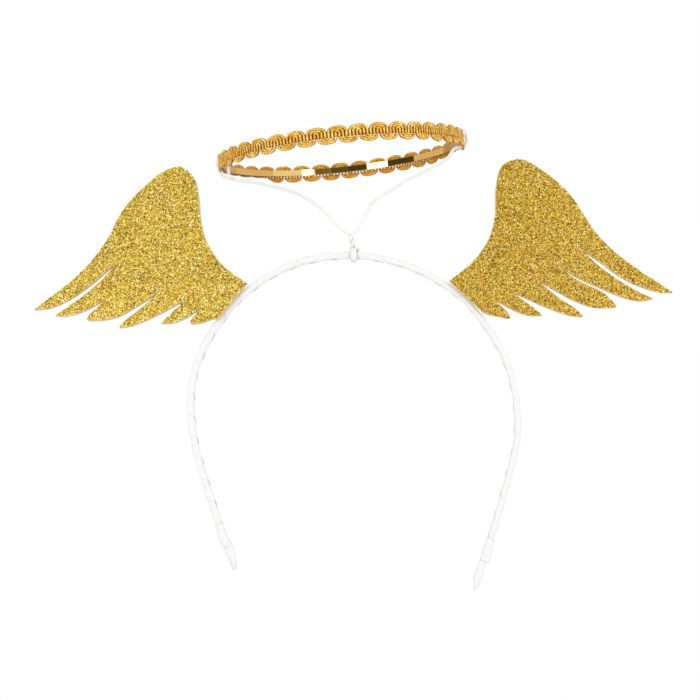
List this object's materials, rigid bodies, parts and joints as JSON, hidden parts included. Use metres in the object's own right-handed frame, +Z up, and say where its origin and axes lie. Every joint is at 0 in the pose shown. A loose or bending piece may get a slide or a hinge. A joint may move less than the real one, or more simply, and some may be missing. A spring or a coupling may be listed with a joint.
{
  "type": "halo headband with wings",
  "caption": "Thin wrapped headband with flat glitter feather wings at its sides and a braided gold halo held above the crown by a forked wire.",
  "frame": {"origin": "on the inner side of the band at its crown, in the middle of its depth, where it sits on the head", "axes": "+Z up through the halo, +X to the right seen from the front, the front towards -Y"},
  "size_m": [0.2573, 0.099, 0.1854],
  "materials": {
    "ribbon": "white satin ribbon wound over a plastic core",
    "glitter_foam": "gold glitter on a greyish tan foam sheet",
    "mirror_strip": "mirror-gold coated plastic",
    "gimp_braid": "shiny gold cord",
    "wire": "white plastic coat over a steel wire"
  },
  "bodies": {
    "root": {"headband": "ribbon", "wing_left": "glitter_foam", "wing_right": "glitter_foam", "halo_strip": "mirror_strip", "halo_braid": "gimp_braid", "halo_wire": "wire"}
  },
  "joints": []
}
